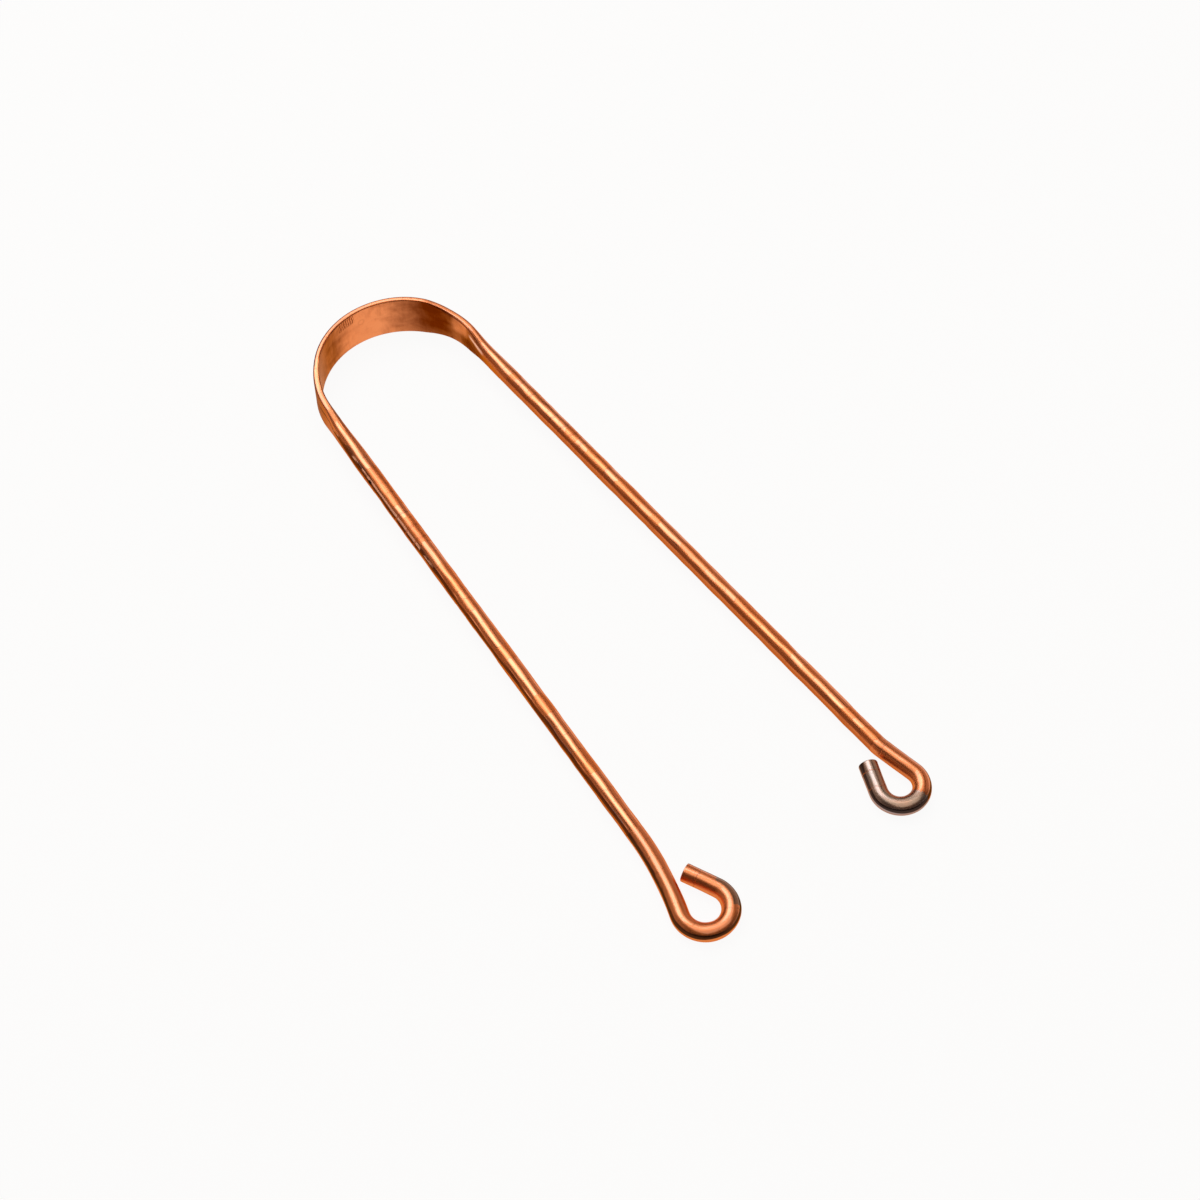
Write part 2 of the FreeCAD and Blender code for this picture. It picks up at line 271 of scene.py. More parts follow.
def path_object(sizes, side, found):
    """The middle line of one piece as a chain of points that carry the section's sizes."""
    sign = SIDES[side]
    rows = found if sign > 0 else found[::-1]
    middles, outwards, flats, edges, alongs = [], [], [], [], []
    for distance, drawn_in in rows:
        middle, outward = place(sizes, side, distance)
        flat, edge = section(sizes, side, distance)
        middles.append(middle)
        outwards.append(outward)
        flats.append(flat)
        edges.append(edge - drawn_in)
        alongs.append(sign * distance)
    mesh = bpy.data.meshes.new("rod_path")
    mesh.from_pydata(middles, [(i, i + 1) for i in range(len(rows) - 1)], [])
    for name, values in (("half_flat", flats), ("edge_radius", edges), ("along", alongs)):
        mesh.attributes.new(name, "FLOAT", "POINT").data.foreach_set("value", values)
    numbers = [number for outward in outwards for number in outward]
    mesh.attributes.new("outward", "FLOAT_VECTOR", "POINT").data.foreach_set("vector", numbers)
    path = bpy.data.objects.new("rod_path", mesh)
    bpy.context.scene.collection.objects.link(path)
    return path


# Node trees

# The middle of a noise's range, where nearly all of its values lie
NOISE_SPAN = (0.3, 0.7)


def add(tree, kind, inputs=(), **settings):
    """A new node with its settings, and its inputs set or linked by name or place."""
    node = tree.nodes.new(kind)
    for name, setting in settings.items():
        setattr(node, name, setting)
    for key, given in dict(inputs).items():
        if isinstance(given, bpy.types.NodeSocket):
            tree.links.new(given, node.inputs[key])
        else:
            node.inputs[key].default_value = given
    return node


def maths(tree, operation, *given, clamp=False):
    node = add(tree, "ShaderNodeMath", dict(enumerate(given)), operation=operation, use_clamp=clamp)
    return node.outputs[0]


def chained(tree, operation, first, *others):
    """The given numbers taken together by one operation, two at a time."""
    result = first
    for other in others:
        result = maths(tree, operation, result, other)
    return result


def product(tree, *factors):
    return chained(tree, "MULTIPLY", *factors)


def total(tree, *terms):
    return chained(tree, "ADD", *terms)


def strongest(tree, *masks):
    return chained(tree, "MAXIMUM", *masks)


def difference(tree, first, second):
    return maths(tree, "SUBTRACT", first, second)


def inverse(tree, mask):
    """One where the mask is nil, and nil where it is one."""
    return difference(tree, 1.0, mask)


def vector_maths(tree, operation, first, second):
    key = "Scale" if operation == "SCALE" else 1
    node = add(tree, "ShaderNodeVectorMath", {0: first, key: second}, operation=operation)
    return node.outputs["Vector"]


def ramp(tree, given, low, high, start=0.0, end=1.0, smooth=False):
    """A number that goes from start to end as the given one goes from low to high."""
    node = add(tree, "ShaderNodeMapRange", {"Value": given, "From Min": low, "From Max": high,
                                            "To Min": start, "To Max": end})
    node.interpolation_type = "SMOOTHSTEP" if smooth else "LINEAR"
    return node.outputs["Result"]


def window(tree, given, low, high, soft):
    """One between low and high, and nil a soft distance outside them."""
    rise = ramp(tree, difference(tree, given, low), -soft, 0.0, smooth=True)
    fall = ramp(tree, difference(tree, high, given), -soft, 0.0, smooth=True)
    return product(tree, rise, fall)


# The swept rod

ROD_INPUTS = {
    "Path": "Geometry", "Points Round": "Int", "Flat Points": "Int", "Dent Depth": "Float",
    "Dent Size": "Float", "Facet Depth": "Float", "Facet Run": "Float", "Groove Depth": "Float",
    "Groove Turn": "Float", "Lean": "Float", "Bow Centre": "Vector", "Finish": "Material",
}
# The band's edges are flatter than a half round: the power of their curve, and the half flats
# between which it comes in
RIM_POWER = 0.62
RIM_HALF_FLATS = mm(0.5, 2.5)
# Dents are drawn out along the rod, and on the band, from a half flat on, have a share of their depth
DENT_STRETCH = (1.0, 1.0, 2.0)
BAND_DENT_SHARE = 0.2
BAND_DENT_HALF_FLAT = 2 * MM
# Lobes of a facet round the rod, and the half flat at which the facets have faded out
FACET_LOBES = 3.0
FACET_HALF_FLAT = 0.6 * MM
# The groove's half breadth and wander as turns round the rod, and the run of one wander
GROOVE_HALF_TURN = 0.14
GROOVE_WANDER_TURN = 0.12
GROOVE_WANDER_RUN = 9 * MM
# Bend in radians from which an edge is shaded sharp, and the gap that the weld closes
SHARP_ANGLE = 0.5
WELD_GAP = 0.002 * MM


def named(tree, name, kind="FLOAT"):
    node = add(tree, "GeometryNodeInputNamedAttribute", {"Name": name}, data_type=kind)
    return node.outputs["Attribute"]


def store(tree, geometry, name, value, kind="FLOAT"):
    node = add(tree, "GeometryNodeStoreNamedAttribute",
               {"Geometry": geometry, "Name": name, "Value": value}, data_type=kind)
    return node.outputs["Geometry"]


def section_walk(tree, given, all_points):
    """The turn at each point of the section, and its height on the flats as a share from 1 to -1.

    The points go half round over the top, down a flat, half round below and up the other flat."""
    spot = named(tree, "spot")
    half = maths(tree, "DIVIDE", given["Points Round"], 2.0)
    first_flat = total(tree, half, given["Flat Points"])
    second_half = total(tree, first_flat, half)
    turn = total(tree, ramp(tree, spot, 0.0, half, 0.0, math.pi),
                 ramp(tree, spot, first_flat, second_half, 0.0, math.pi))
    down = ramp(tree, spot, half, first_flat, 0.0, 2.0)
    up_again = ramp(tree, spot, second_half, all_points, 0.0, 2.0)
    return turn, total(tree, inverse(tree, down), up_again)


def worn_surface(tree, given, straight, turn):
    """How far the surface stands out from the true section, which is nil or less everywhere."""
    along, half_flat = named(tree, "along"), named(tree, "half_flat")
    lumps = add(tree, "ShaderNodeTexNoise", {
        "Vector": vector_maths(tree, "DIVIDE", straight, DENT_STRETCH),
        "Scale": maths(tree, "DIVIDE", 1.0, given["Dent Size"]), "Detail": 0.0}).outputs["Fac"]
    dents = product(tree, ramp(tree, lumps, *NOISE_SPAN, -1.0, 0.0), given["Dent Depth"],
                    ramp(tree, half_flat, 0.0, BAND_DENT_HALF_FLAT, 1.0, BAND_DENT_SHARE))
    # short facets along the round rod, each a little out of round in its own direction
    lane = maths(tree, "DIVIDE", along, given["Facet Run"])
    cell = add(tree, "ShaderNodeTexVoronoi", {"W": lane, "Scale": 1.0}, voronoi_dimensions="1D")
    facet = add(tree, "ShaderNodeSeparateXYZ", {0: cell.outputs["Color"]}).outputs
    phase = total(tree, product(tree, turn, FACET_LOBES), product(tree, facet["X"], math.tau))
    lobes = ramp(tree, maths(tree, "SINE", phase), -1.0, 1.0, -1.0, 0.0)
    strength = product(tree, facet["Y"], facet["Y"], given["Facet Depth"],
                       ramp(tree, half_flat, 0.0, FACET_HALF_FLAT, 1.0, 0.0))
    # one narrow groove along the rod, broken here and there
    drift = add(tree, "ShaderNodeTexNoise",
                {"W": maths(tree, "DIVIDE", along, GROOVE_WANDER_RUN), "Scale": 1.0}, noise_dimensions="1D")
    wander = ramp(tree, drift.outputs["Fac"], *NOISE_SPAN, -GROOVE_WANDER_TURN, GROOVE_WANDER_TURN)
    off = difference(tree, turn, total(tree, given["Groove Turn"], wander))
    hollow = ramp(tree, maths(tree, "ABSOLUTE", off), 0.0, GROOVE_HALF_TURN, 1.0, 0.0, smooth=True)
    groove = product(tree, hollow, ramp(tree, facet["Z"], 0.15, 0.4), given["Groove Depth"])
    return difference(tree, total(tree, dents, product(tree, lobes, strength)), groove)


def swept_rod_tree():
    """The rod swept along a chain of points, as a stadium section that is round where its flat is nil."""
    tree = bpy.data.node_groups.new("swept_rod", "GeometryNodeTree")
    for name, kind in ROD_INPUTS.items():
        tree.interface.new_socket(name, in_out="INPUT", socket_type=f"NodeSocket{kind}")
    tree.interface.new_socket("Rod", in_out="OUTPUT", socket_type="NodeSocketGeometry")
    given = tree.nodes.new("NodeGroupInput").outputs

    rail = add(tree, "GeometryNodeMeshToCurve", {"Mesh": given["Path"]}).outputs["Curve"]
    rail = store(tree, rail, "middle", add(tree, "GeometryNodeInputPosition").outputs[0], "FLOAT_VECTOR")
    all_points = total(tree, given["Points Round"], product(tree, given["Flat Points"], 2.0))
    profile = add(tree, "GeometryNodeCurvePrimitiveCircle", {"Resolution": all_points}).outputs["Curve"]
    profile = store(tree, profile, "spot", add(tree, "GeometryNodeInputIndex").outputs[0])
    swept = add(tree, "GeometryNodeCurveToMesh",
                {"Curve": rail, "Profile Curve": profile, "Fill Caps": True}).outputs["Mesh"]

    turn, lift = section_walk(tree, given, all_points)
    cosine, sine = maths(tree, "COSINE", turn), maths(tree, "SINE", turn)
    half_flat = named(tree, "half_flat")
    power = ramp(tree, half_flat, *RIM_HALF_FLATS, 1.0, RIM_POWER)

    def squared_off(wave):
        size = maths(tree, "POWER", maths(tree, "ABSOLUTE", wave), power)
        return product(tree, size, maths(tree, "SIGN", wave), named(tree, "edge_radius"))

    aside = squared_off(cosine)
    above = total(tree, squared_off(sine), product(tree, half_flat, lift))
    # the place on the rod as if it were pulled straight
    straight = add(tree, "ShaderNodeCombineXYZ",
                   {"X": aside, "Y": above, "Z": named(tree, "along")}).outputs[0]
    worn = worn_surface(tree, given, straight, turn)
    across = vector_maths(tree, "SCALE", named(tree, "outward", "FLOAT_VECTOR"),
                          total(tree, aside, product(tree, cosine, worn)))
    upward = add(tree, "ShaderNodeCombineXYZ",
                 {"Z": total(tree, above, product(tree, sine, worn))}).outputs[0]
    surface = vector_maths(tree, "ADD", named(tree, "middle", "FLOAT_VECTOR"),
                           vector_maths(tree, "ADD", across, upward))

    swept = store(tree, swept, "straight", straight, "FLOAT_VECTOR")
    swept = store(tree, swept, "rise", sine)
    shaped = add(tree, "GeometryNodeSetPosition", {"Geometry": swept, "Position": surface}).outputs[0]
    for name in ("spot", "middle", "outward", "along", "half_flat", "edge_radius"):
        shaped = add(tree, "GeometryNodeRemoveAttribute", {"Geometry": shaped, "Name": name}).outputs[0]
    smooth = add(tree, "GeometryNodeSetShadeSmooth", {"Geometry": shaped, "Shade Smooth": True}).outputs[0]
    bend = add(tree, "GeometryNodeInputMeshEdgeAngle").outputs["Unsigned Angle"]
    smooth = add(tree, "GeometryNodeSetShadeSmooth",
                 {"Geometry": smooth, "Selection": maths(tree, "GREATER_THAN", bend, SHARP_ANGLE),
                  "Shade Smooth": False}, domain="EDGE").outputs[0]
    tilt = add(tree, "ShaderNodeCombineXYZ", {"X": given["Lean"]}).outputs[0]
    laid = add(tree, "GeometryNodeTransform",
               {"Geometry": smooth, "Rotation": tilt, "Translation": given["Bow Centre"]}).outputs[0]
    joined = add(tree, "GeometryNodeMergeByDistance", {"Geometry": laid, "Distance": WELD_GAP}).outputs[0]
    real = add(tree, "GeometryNodeRealizeInstances", {"Geometry": joined}).outputs[0]
    done = add(tree, "GeometryNodeSetMaterial", {"Geometry": real, "Material": given["Finish"]}).outputs[0]
    tree.links.new(done, tree.nodes.new("NodeGroupOutput").inputs["Rod"])
    return tree


def bow_centre(sizes):
    """Where the laying down puts the bow's centre."""
    pin = Vector((-sizes.bow * math.sin(HINGE_TURN), sizes.bow * math.cos(HINGE_TURN), 0.0))
    return Vector(HINGE["pos_m"]) - Matrix.Rotation(LEAN, 3, "X") @ pin


def laid_down(sizes):
    """The move from the flat drawing to the table."""
    return Matrix.Translation(bow_centre(sizes)) @ Matrix.Rotation(LEAN, 4, "X")


def sweep(sizes, name, side, found, material, round_points, flat_points=0, facet=0.0, groove=0.0):
    """One piece of the rod as a plain mesh, with so many points round its section and on each flat."""
    piece = path_object(sizes, side, found)
    piece.name = name
    tree = bpy.data.node_groups.get("swept_rod") or swept_rod_tree()
    modifier = piece.modifiers.new("sweep", "NODES")
    modifier.node_group = tree
    settings = {
        "Points Round": round_points, "Flat Points": flat_points,
        "Dent Depth": sizes.dent_depth, "Dent Size": sizes.dent_size,
        "Facet Depth": facet, "Facet Run": sizes.facet_run,
        "Groove Depth": groove, "Groove Turn": sizes.groove_turn,
        "Lean": LEAN, "Bow Centre": bow_centre(sizes), "Finish": material,
    }
    for socket in tree.interface.items_tree:
        if socket.name in settings:
            modifier[socket.identifier] = settings[socket.name]
    graph = bpy.context.evaluated_depsgraph_get()
    path_mesh = piece.data
    mesh = bpy.data.meshes.new_from_object(
        piece.evaluated_get(graph), preserve_all_data_layers=True, depsgraph=graph)
    piece.modifiers.clear()
    piece.data = mesh
    bpy.data.meshes.remove(path_mesh)
    mesh.name = name
    if not mesh.polygons:
        raise RuntimeError(f"{name} has no faces")
    return piece


# Finishes
# Every finish reads the place on the rod as if it were pulled straight: outward, up and along, with
# the left side's distances from the crown negative. It also reads the rise of the surface, which is 1
# on top of the rod, nil on its flanks and on the band's faces, and -1 below.

# Cells of the noise behind the marks: outward, up and along
FINE_LINE_CELL = mm(0.17, 0.17, 10)
BROAD_LINE_CELL = mm(0.55, 0.55, 18)
TICK_SWAY_CELL = mm(1.2, 1.2, 4)
TICK_BREAK_CELL = mm(0.7, 0.7, 2.3)
PIT_CELL = mm(0.8, 0.8, 1.3)
DEPTH_CELL = mm(2, 2, 9)
DARK_REFLECTION_CELL = mm(1.5, 1.5, 7)
BRIGHT_REFLECTION_DRIFT_CELL = mm(4, 4, 11)
BRIGHT_REFLECTION_BREAK_CELL = mm(3, 3, 3.5)
RING_SWAY_CELL = mm(0.9, 0.9, 3)
FILM_EDGE_CELL = mm(0.6, 0.6, 0.6)
FILM_WEAR_CELL = mm(0.5, 0.5, 2.5)
HATCH_SWAY_CELL = mm(1, 1, 1)
WANDER_CELL = mm(1, 3, 4)
CLOUD_CELL = mm(1, 2.2, 3.6)
WISP_CELL = mm(1, 3.5, 0.8)

# Heights and depths of the relief
FINE_LINE_HEIGHT = 0.0006 * MM
BROAD_LINE_HEIGHT = 0.007 * MM
TICK_DEPTH = 0.013 * MM
CROSS_LINE_DEPTH = 0.02 * MM
EYE_RING_DEPTH = 0.03 * MM
DARK_PIT_DEPTH = 0.08 * MM
CLOUD_HEIGHT = 0.12 * MM
FACE_MARK_DEPTH = 0.012 * MM

# The wax that gives the cream highlight
WAX_IOR = 1.9
WAX_ROUGHNESS = 0.15
# How much rougher the places of painted dark and bright reflection are, and how strongly the painted bright
# reflection line shows
DULLED_ROUGHNESS = 0.28
BRIGHT_REFLECTION_SHARE = 0.8

# Outward distances between which the marks of a flank and of the band's outer face come in
FLANK_OUT = mm(0.5, 1.0)
OUTER_FACE_OUT = mm(0.25, 0.45)
INNER_FACE_OUT = mm(-0.25, -0.40)

# Heights of the painted dark reflection on the flank of the left arm, and of the painted black shade round
# the eyes
ARM_DARK_REFLECTION_LOW = 0.45 * MM
ARM_DARK_REFLECTION_HIGH = 0.92 * MM
BRIGHT_REFLECTION_DARK_HIGH = 1.2 * MM
BRIGHT_REFLECTION_DARK_START = mm(-66, -60)
EYE_BLACK_SHADE = {"Low": 0.48 * MM, "High": 1.0 * MM}

# Places of the marks and of the painted bright reflection line on the arms
BRIGHT_REFLECTION_HEIGHTS = mm(0.93, 1.12)
BRIGHT_REFLECTION_RUN = mm(-60, -28)
DARK_PIT_RUN = mm(-40.6, -40.0)
DARK_PIT_HEIGHTS = mm(0.55, 0.95)
CROSS_LINES = mm(38.4, 41.6, 48.0, 50.7, 53.0, 55.8, 63.0, -49.1, -52.4, -55.2)
CROSS_LINE_WIDTH = 0.3 * MM

# Stretches of tarnish on the eyes, and the places and widths of the scratches round them
LEFT_PATCH = {"Start": -155.6 * MM, "End": -150.4 * MM}
RIGHT_FILM = {"Start": 144.9 * MM, "End": 158.75 * MM}
LEFT_EYE_RINGS = (mm(-157.9, 0.13),)
RIGHT_EYE_RINGS = (mm(157.1, 0.12), mm(154.0, 0.09), mm(134.4, 0.14))


def blend_colour(tree, factor, first, second):
    """From the first colour to the second by a factor."""
    given = {0: factor}
    for key, item in ((6, first), (7, second)):
        given[key] = item if isinstance(item, bpy.types.NodeSocket) else (*item, 1.0)
    return add(tree, "ShaderNodeMix", given, data_type="RGBA").outputs[2]


def noise(tree, straight, cell, detail=2.0, distortion=0.0):
    """Cloudy noise from 0 to 1 with cells of a size along each way of the rod."""
    node = add(tree, "ShaderNodeTexNoise",
               {"Vector": vector_maths(tree, "DIVIDE", straight, cell), "Scale": 1.0,
                "Detail": detail, "Distortion": distortion})
    return node.outputs["Fac"]


def swayed(tree, given, straight, cell, reach, detail=2.0):
    """The given distance, pushed to and fro by a noise within a reach."""
    return total(tree, given, ramp(tree, noise(tree, straight, cell, detail), *NOISE_SPAN, -reach, reach))


def shader_group(name, inputs, outputs):
    """An empty shader node group on the straight rod, its input sockets and its output node's sockets."""
    tree = bpy.data.node_groups.new(name, "ShaderNodeTree")
    tree.interface.new_socket("Straight", in_out="INPUT", socket_type="NodeSocketVector")
    for label in inputs:
        tree.interface.new_socket(label, in_out="INPUT", socket_type="NodeSocketFloat")
    for label in outputs:
        tree.interface.new_socket(label, in_out="OUTPUT", socket_type="NodeSocketFloat")
    given = tree.nodes.new("NodeGroupInput").outputs
    return tree, given, tree.nodes.new("NodeGroupOutput").inputs


def drawn_lines_group():
    """Fine lines along the rod, left by drawing it through a die."""
    tree, given, done = shader_group("drawn_lines", [], ["Streak", "Height"])
    fine = noise(tree, given["Straight"], FINE_LINE_CELL, 1.0)
    broad = noise(tree, given["Straight"], BROAD_LINE_CELL, 1.0)
    streak = total(tree, product(tree, fine, 0.55), product(tree, broad, 0.45))
    tree.links.new(ramp(tree, streak, 0.42, 0.62, smooth=True), done["Streak"])
    height = total(tree, product(tree, fine, FINE_LINE_HEIGHT), product(tree, broad, BROAD_LINE_HEIGHT))
    tree.links.new(height, done["Height"])
    return tree


def handling_marks_group():
    """Short lines across the rod and small pits, left by bending and use."""
    spacing, sway_share, line_share = 2.9 * MM, 0.5, 0.05
    tree, given, done = shader_group("handling_marks", [], ["Ticks", "Pits", "Segment", "Height"])
    straight = given["Straight"]
    along = add(tree, "ShaderNodeSeparateXYZ", {0: straight}).outputs["Z"]
    sway = product(tree, noise(tree, straight, TICK_SWAY_CELL), sway_share)
    lane = total(tree, maths(tree, "DIVIDE", along, spacing), sway)
    in_lane = {"W": lane, "Scale": 1.0, "Randomness": 1.0}
    edge = add(tree, "ShaderNodeTexVoronoi", in_lane,
               voronoi_dimensions="1D", feature="DISTANCE_TO_EDGE").outputs["Distance"]
    line = ramp(tree, edge, 0.0, line_share, 1.0, 0.0, smooth=True)
    broken = ramp(tree, noise(tree, straight, TICK_BREAK_CELL), 0.42, 0.58, smooth=True)
    ticks = product(tree, line, broken)
    tree.links.new(ticks, done["Ticks"])
    tree.links.new(product(tree, ticks, -TICK_DEPTH), done["Height"])
    segment = add(tree, "ShaderNodeTexVoronoi", in_lane, voronoi_dimensions="1D").outputs["Color"]
    tree.links.new(add(tree, "ShaderNodeSeparateColor", {0: segment}).outputs[1], done["Segment"])
    cells = vector_maths(tree, "DIVIDE", straight, PIT_CELL)
    speck = add(tree, "ShaderNodeTexVoronoi", {"Vector": cells, "Scale": 1.0, "Randomness": 1.0}).outputs
    chance = add(tree, "ShaderNodeSeparateColor", {0: speck["Color"]}).outputs[0]
    dot = ramp(tree, speck["Distance"], 0.10, 0.24, 1.0, 0.0, smooth=True)
    tree.links.new(product(tree, ramp(tree, chance, 0.62, 0.72), dot), done["Pits"])
    return tree


def copper_depth_group():
    """How deep the copper's colour is: painted shade below, darker between drawn lines and in marks; and the
    wax on top.
    """
    tree, given, done = shader_group(
        "copper_depth", ["Rise", "Streak", "Pits", "Ticks", "Underside"], ["Depth", "Wax"])
    # painted shade on the underside
    under = product(tree, ramp(tree, given["Rise"], 0.72, 0.22, smooth=True), given["Underside"])
    tree.links.new(ramp(tree, given["Rise"], 0.56, 0.88, smooth=True), done["Wax"])
    cloud = noise(tree, given["Straight"], DEPTH_CELL)
    lined = product(tree, inverse(tree, given["Streak"]), ramp(tree, cloud, 0.35, 0.65, 0.05, 0.4))
    worn = strongest(tree, product(tree, given["Pits"], 0.25), product(tree, given["Ticks"], 0.75))
    tree.links.new(strongest(tree, under, lined, worn), done["Depth"])
    return tree


def flank_dark_reflection_group():
    """Painted dark reflection on the rod's outer flank, and the broken painted bright reflection line through
    it.
    """
    dark_sway, dark_soft = mm(0.2, 0.2)
    bright_sway, bright_soft, bright_end_soft = mm(0.12, 0.1, 2)
    tree, given, done = shader_group("flank_grime", ["Low", "High"], ["Grime", "Rubbed"])
    straight = given["Straight"]
    out, up, along = add(tree, "ShaderNodeSeparateXYZ", {0: straight}).outputs
    flank = ramp(tree, out, *FLANK_OUT)
    height = swayed(tree, up, straight, DARK_REFLECTION_CELL, dark_sway, 3.0)
    dark_reflection = product(tree, window(tree, height, given["Low"], given["High"], dark_soft), flank, 0.92)
    level = swayed(tree, up, straight, BRIGHT_REFLECTION_DRIFT_CELL, bright_sway)
    broken = ramp(tree, noise(tree, straight, BRIGHT_REFLECTION_BREAK_CELL), 0.40, 0.46)
    bright_reflection = product(tree, window(tree, level, *BRIGHT_REFLECTION_HEIGHTS, bright_soft), broken, flank,
                     window(tree, along, *BRIGHT_REFLECTION_RUN, bright_end_soft))
    tree.links.new(product(tree, dark_reflection, inverse(tree, bright_reflection)), done["Grime"])
    tree.links.new(bright_reflection, done["Rubbed"])
    return tree


def ring_scratch_group():
    """A thin scratch round the rod at a distance along it."""
    sway_reach = 0.7 * MM
    tree, given, done = shader_group("ring_scratch", ["Along", "Width"], ["Mark"])
    along = add(tree, "ShaderNodeSeparateXYZ", {0: given["Straight"]}).outputs["Z"]
    sway = product(tree, noise(tree, given["Straight"], RING_SWAY_CELL), sway_reach)
    gap = maths(tree, "ABSOLUTE", difference(tree, total(tree, along, sway), given["Along"]))
    share_of_width = maths(tree, "DIVIDE", gap, given["Width"])
    tree.links.new(ramp(tree, share_of_width, 0.4, 1.0, 1.0, 0.0, smooth=True), done["Mark"])
    return tree


def tarnish_film_group():
    """A tarnish film over a stretch of the rod, with a sharp uneven edge and worn places."""
    edge, sway_reach = mm(-0.05, 0.07), 1.3 * MM
    tree, given, done = shader_group("tarnish_film", ["Start", "End"], ["Film"])
    straight = given["Straight"]
    along = add(tree, "ShaderNodeSeparateXYZ", {0: straight}).outputs["Z"]
    sway = difference(tree, noise(tree, straight, FILM_EDGE_CELL, 4.0), 0.5)
    shifted = total(tree, along, product(tree, sway, sway_reach))
    begun = ramp(tree, difference(tree, shifted, given["Start"]), *edge)
    ended = ramp(tree, difference(tree, given["End"], shifted), *edge)
    worn = ramp(tree, noise(tree, straight, FILM_WEAR_CELL, 4.0), *NOISE_SPAN, 1.0, 0.72)
    tree.links.new(product(tree, begun, ended, worn), done["Film"])
    return tree


EFFECTS = {
    "drawn_lines": drawn_lines_group,
    "handling_marks": handling_marks_group,
    "copper_depth": copper_depth_group,
    "flank_grime": flank_dark_reflection_group,
    "ring_scratch": ring_scratch_group,
    "tarnish_film": tarnish_film_group,
}


class Metal:
    """A metal finish under way: its tree, its place on the rod and the marks that every finish shares."""

    def __init__(self, name, finish):
        self.colours = finish
        self.material = bpy.data.materials.new(name)
        self.material.use_nodes = True
        self.tree = self.material.node_tree
        self.shader = self.tree.nodes["Principled BSDF"]
        self.shader.inputs["Metallic"].default_value = 1.0
        self.shader.inputs["Specular Tint"].default_value = (*finish.edge, 1.0)
        self.shader.inputs["Coat IOR"].default_value = WAX_IOR
        self.shader.inputs["Coat Roughness"].default_value = WAX_ROUGHNESS
        self.straight = add(self.tree, "ShaderNodeAttribute", attribute_name="straight").outputs["Vector"]
        self.out, self.up, self.along = add(self.tree, "ShaderNodeSeparateXYZ", {0: self.straight}).outputs
        self.rise = add(self.tree, "ShaderNodeAttribute", attribute_name="rise").outputs["Fac"]
        self.streak, self.line_height = self.effect("drawn_lines")
        self.ticks, self.pits, self.segment, self.mark_height = self.effect("handling_marks")

    def effect(self, name, **inputs):
        """The outputs of a shared effect at this finish's place on the rod."""
        group = bpy.data.node_groups.get(name) or EFFECTS[name]()
        inputs["Straight"] = self.straight
        return add(self.tree, "ShaderNodeGroup", inputs, node_tree=group).outputs

    def link(self, output, name):
        self.tree.links.new(output, self.shader.inputs[name])

    def polished(self, underside=1.0, waxed=1.0):
        """Copper with drawn lines, marks, painted shade on the underside and wax on top."""
        depth, wax = self.effect("copper_depth", Rise=self.rise, Streak=self.streak, Pits=self.pits,
                                 Ticks=self.ticks, Underside=underside)
        self.link(product(self.tree, wax, waxed), "Coat Weight")
        return blend_colour(self.tree, depth, self.colours.copper, self.colours.deep)

    def roughness(self, dull, bright):
        """Roughness between the drawn lines and on them, from the finish's own."""
        own = self.colours.roughness
        return ramp(self.tree, self.streak, 0.0, 1.0, own + dull, own + bright)

    def finish(self, base, roughness, *heights):
        """The material with its colour, roughness and small relief from heights in metres."""
        relief = add(self.tree, "ShaderNodeBump",
                     {"Height": total(self.tree, *heights), "Distance": 1.0, "Strength": 1.0})
        self.link(base, "Base Color")
        self.link(roughness, "Roughness")
        self.link(relief.outputs["Normal"], "Normal")
        return self.material

    def bright_reflection_line(self, base, bright_reflection):
        """The base colour with the painted bright reflection line, laid over the painted dark reflection."""
        return blend_colour(self.tree, product(self.tree, bright_reflection, BRIGHT_REFLECTION_SHARE), base, self.colours.facet)

    def ring_scratches(self, rings):
        """Thin scratches round the rod, each with its distance along and its width."""
        marks = [self.effect("ring_scratch", Along=along, Width=width)["Mark"] for along, width in rings]
        return strongest(self.tree, *marks)

    def squared(self, given, middle):
        gap = difference(self.tree, given, middle)
        return product(self.tree, gap, gap)

    def spot(self, place_at, radius, soft):
        """A round mark on the band's face, at a distance along and a height."""
        along, up = place_at
        square = total(self.tree, self.squared(self.along, along), self.squared(self.up, up))
        return ramp(self.tree, maths(self.tree, "SQRT", square), radius - soft, radius + soft, 1.0, 0.0,
                    smooth=True)

    def box(self, run, heights, soft):
        """A patch of the band's face between two distances and two heights."""
        return product(self.tree, window(self.tree, self.along, *run, soft),
                       window(self.tree, self.up, *heights, soft))

    def hatch(self, spacing, slant):
        """Thin slanted lines."""
        tree, sway_reach = self.tree, 0.6 * MM
        sway = product(tree, noise(tree, self.straight, HATCH_SWAY_CELL), sway_reach)
        lean = total(tree, product(tree, self.up, slant), sway)
        wave = maths(tree, "SINE", maths(tree, "DIVIDE", total(tree, self.along, lean), spacing))
        return ramp(tree, wave, 0.0, 0.5, smooth=True)


def arm_flank(metal):
    """Painted dark reflection and painted bright reflection line of an arm; the dark reflection reaches
    higher where the bright line runs.
    """
    high = ramp(metal.tree, metal.along, *BRIGHT_REFLECTION_DARK_START, ARM_DARK_REFLECTION_HIGH, BRIGHT_REFLECTION_DARK_HIGH)
    return metal.effect("flank_grime", Low=ARM_DARK_REFLECTION_LOW, High=high)


